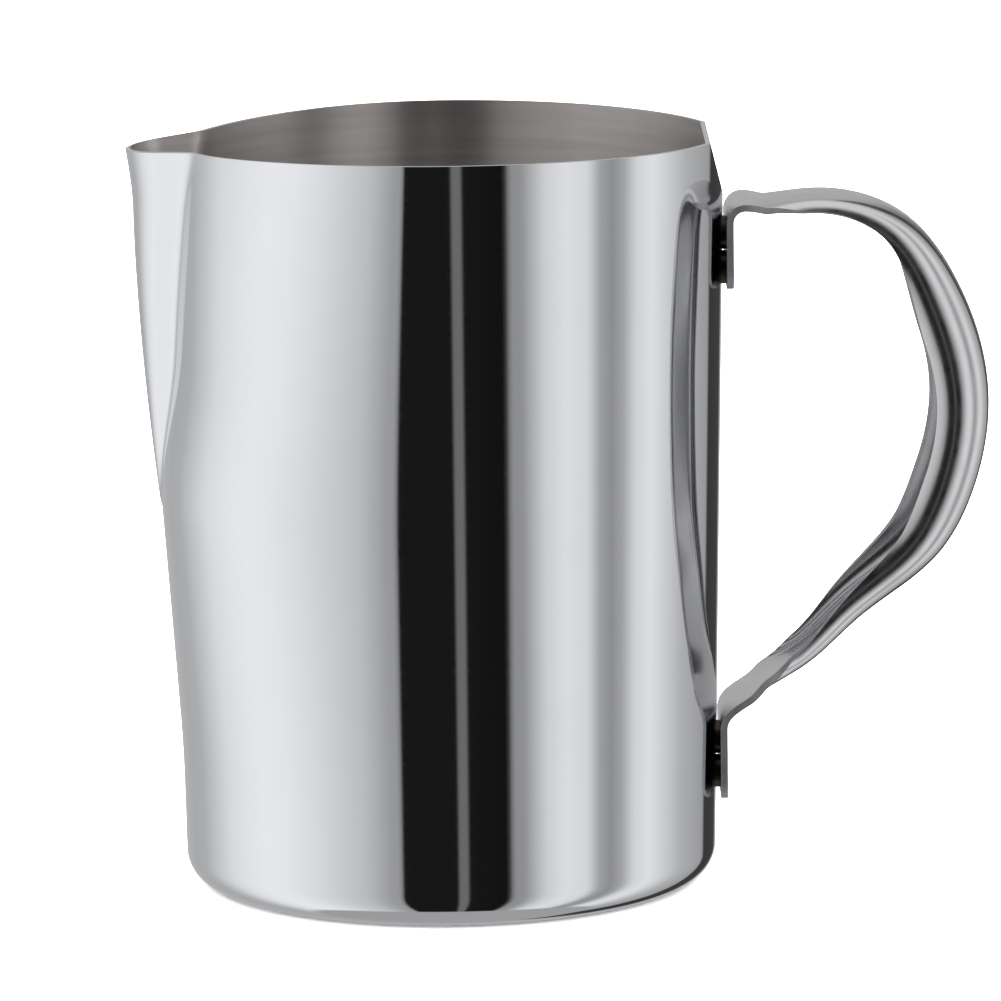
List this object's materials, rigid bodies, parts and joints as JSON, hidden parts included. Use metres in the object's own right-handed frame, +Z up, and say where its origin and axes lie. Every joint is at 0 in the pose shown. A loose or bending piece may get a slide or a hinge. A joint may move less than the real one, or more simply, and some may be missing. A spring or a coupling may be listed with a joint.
{
  "type": "milk frothing pitcher",
  "caption": "Steel milk frothing pitcher: drawn cup with a pressed pouring spout and a welded strap handle.",
  "frame": {"origin": "centre of the standing ring, on the surface the pitcher stands on", "axes": "+Z up, spout points along -X, handle along +X, +Y completes the right-handed frame"},
  "size_m": [0.1381, 0.09, 0.1212],
  "materials": {
    "polished_steel": "mirror polished outside",
    "handle_steel": "tumbled satin",
    "weld_steel": "as welded"
  },
  "bodies": {
    "root": {"cup_shell": "polished_steel", "handle_strap": "handle_steel", "upper_tab_weld_high": "weld_steel", "upper_tab_weld_low": "weld_steel", "lower_tab_weld_high": "weld_steel", "lower_tab_weld_low": "weld_steel"}
  },
  "joints": []
}
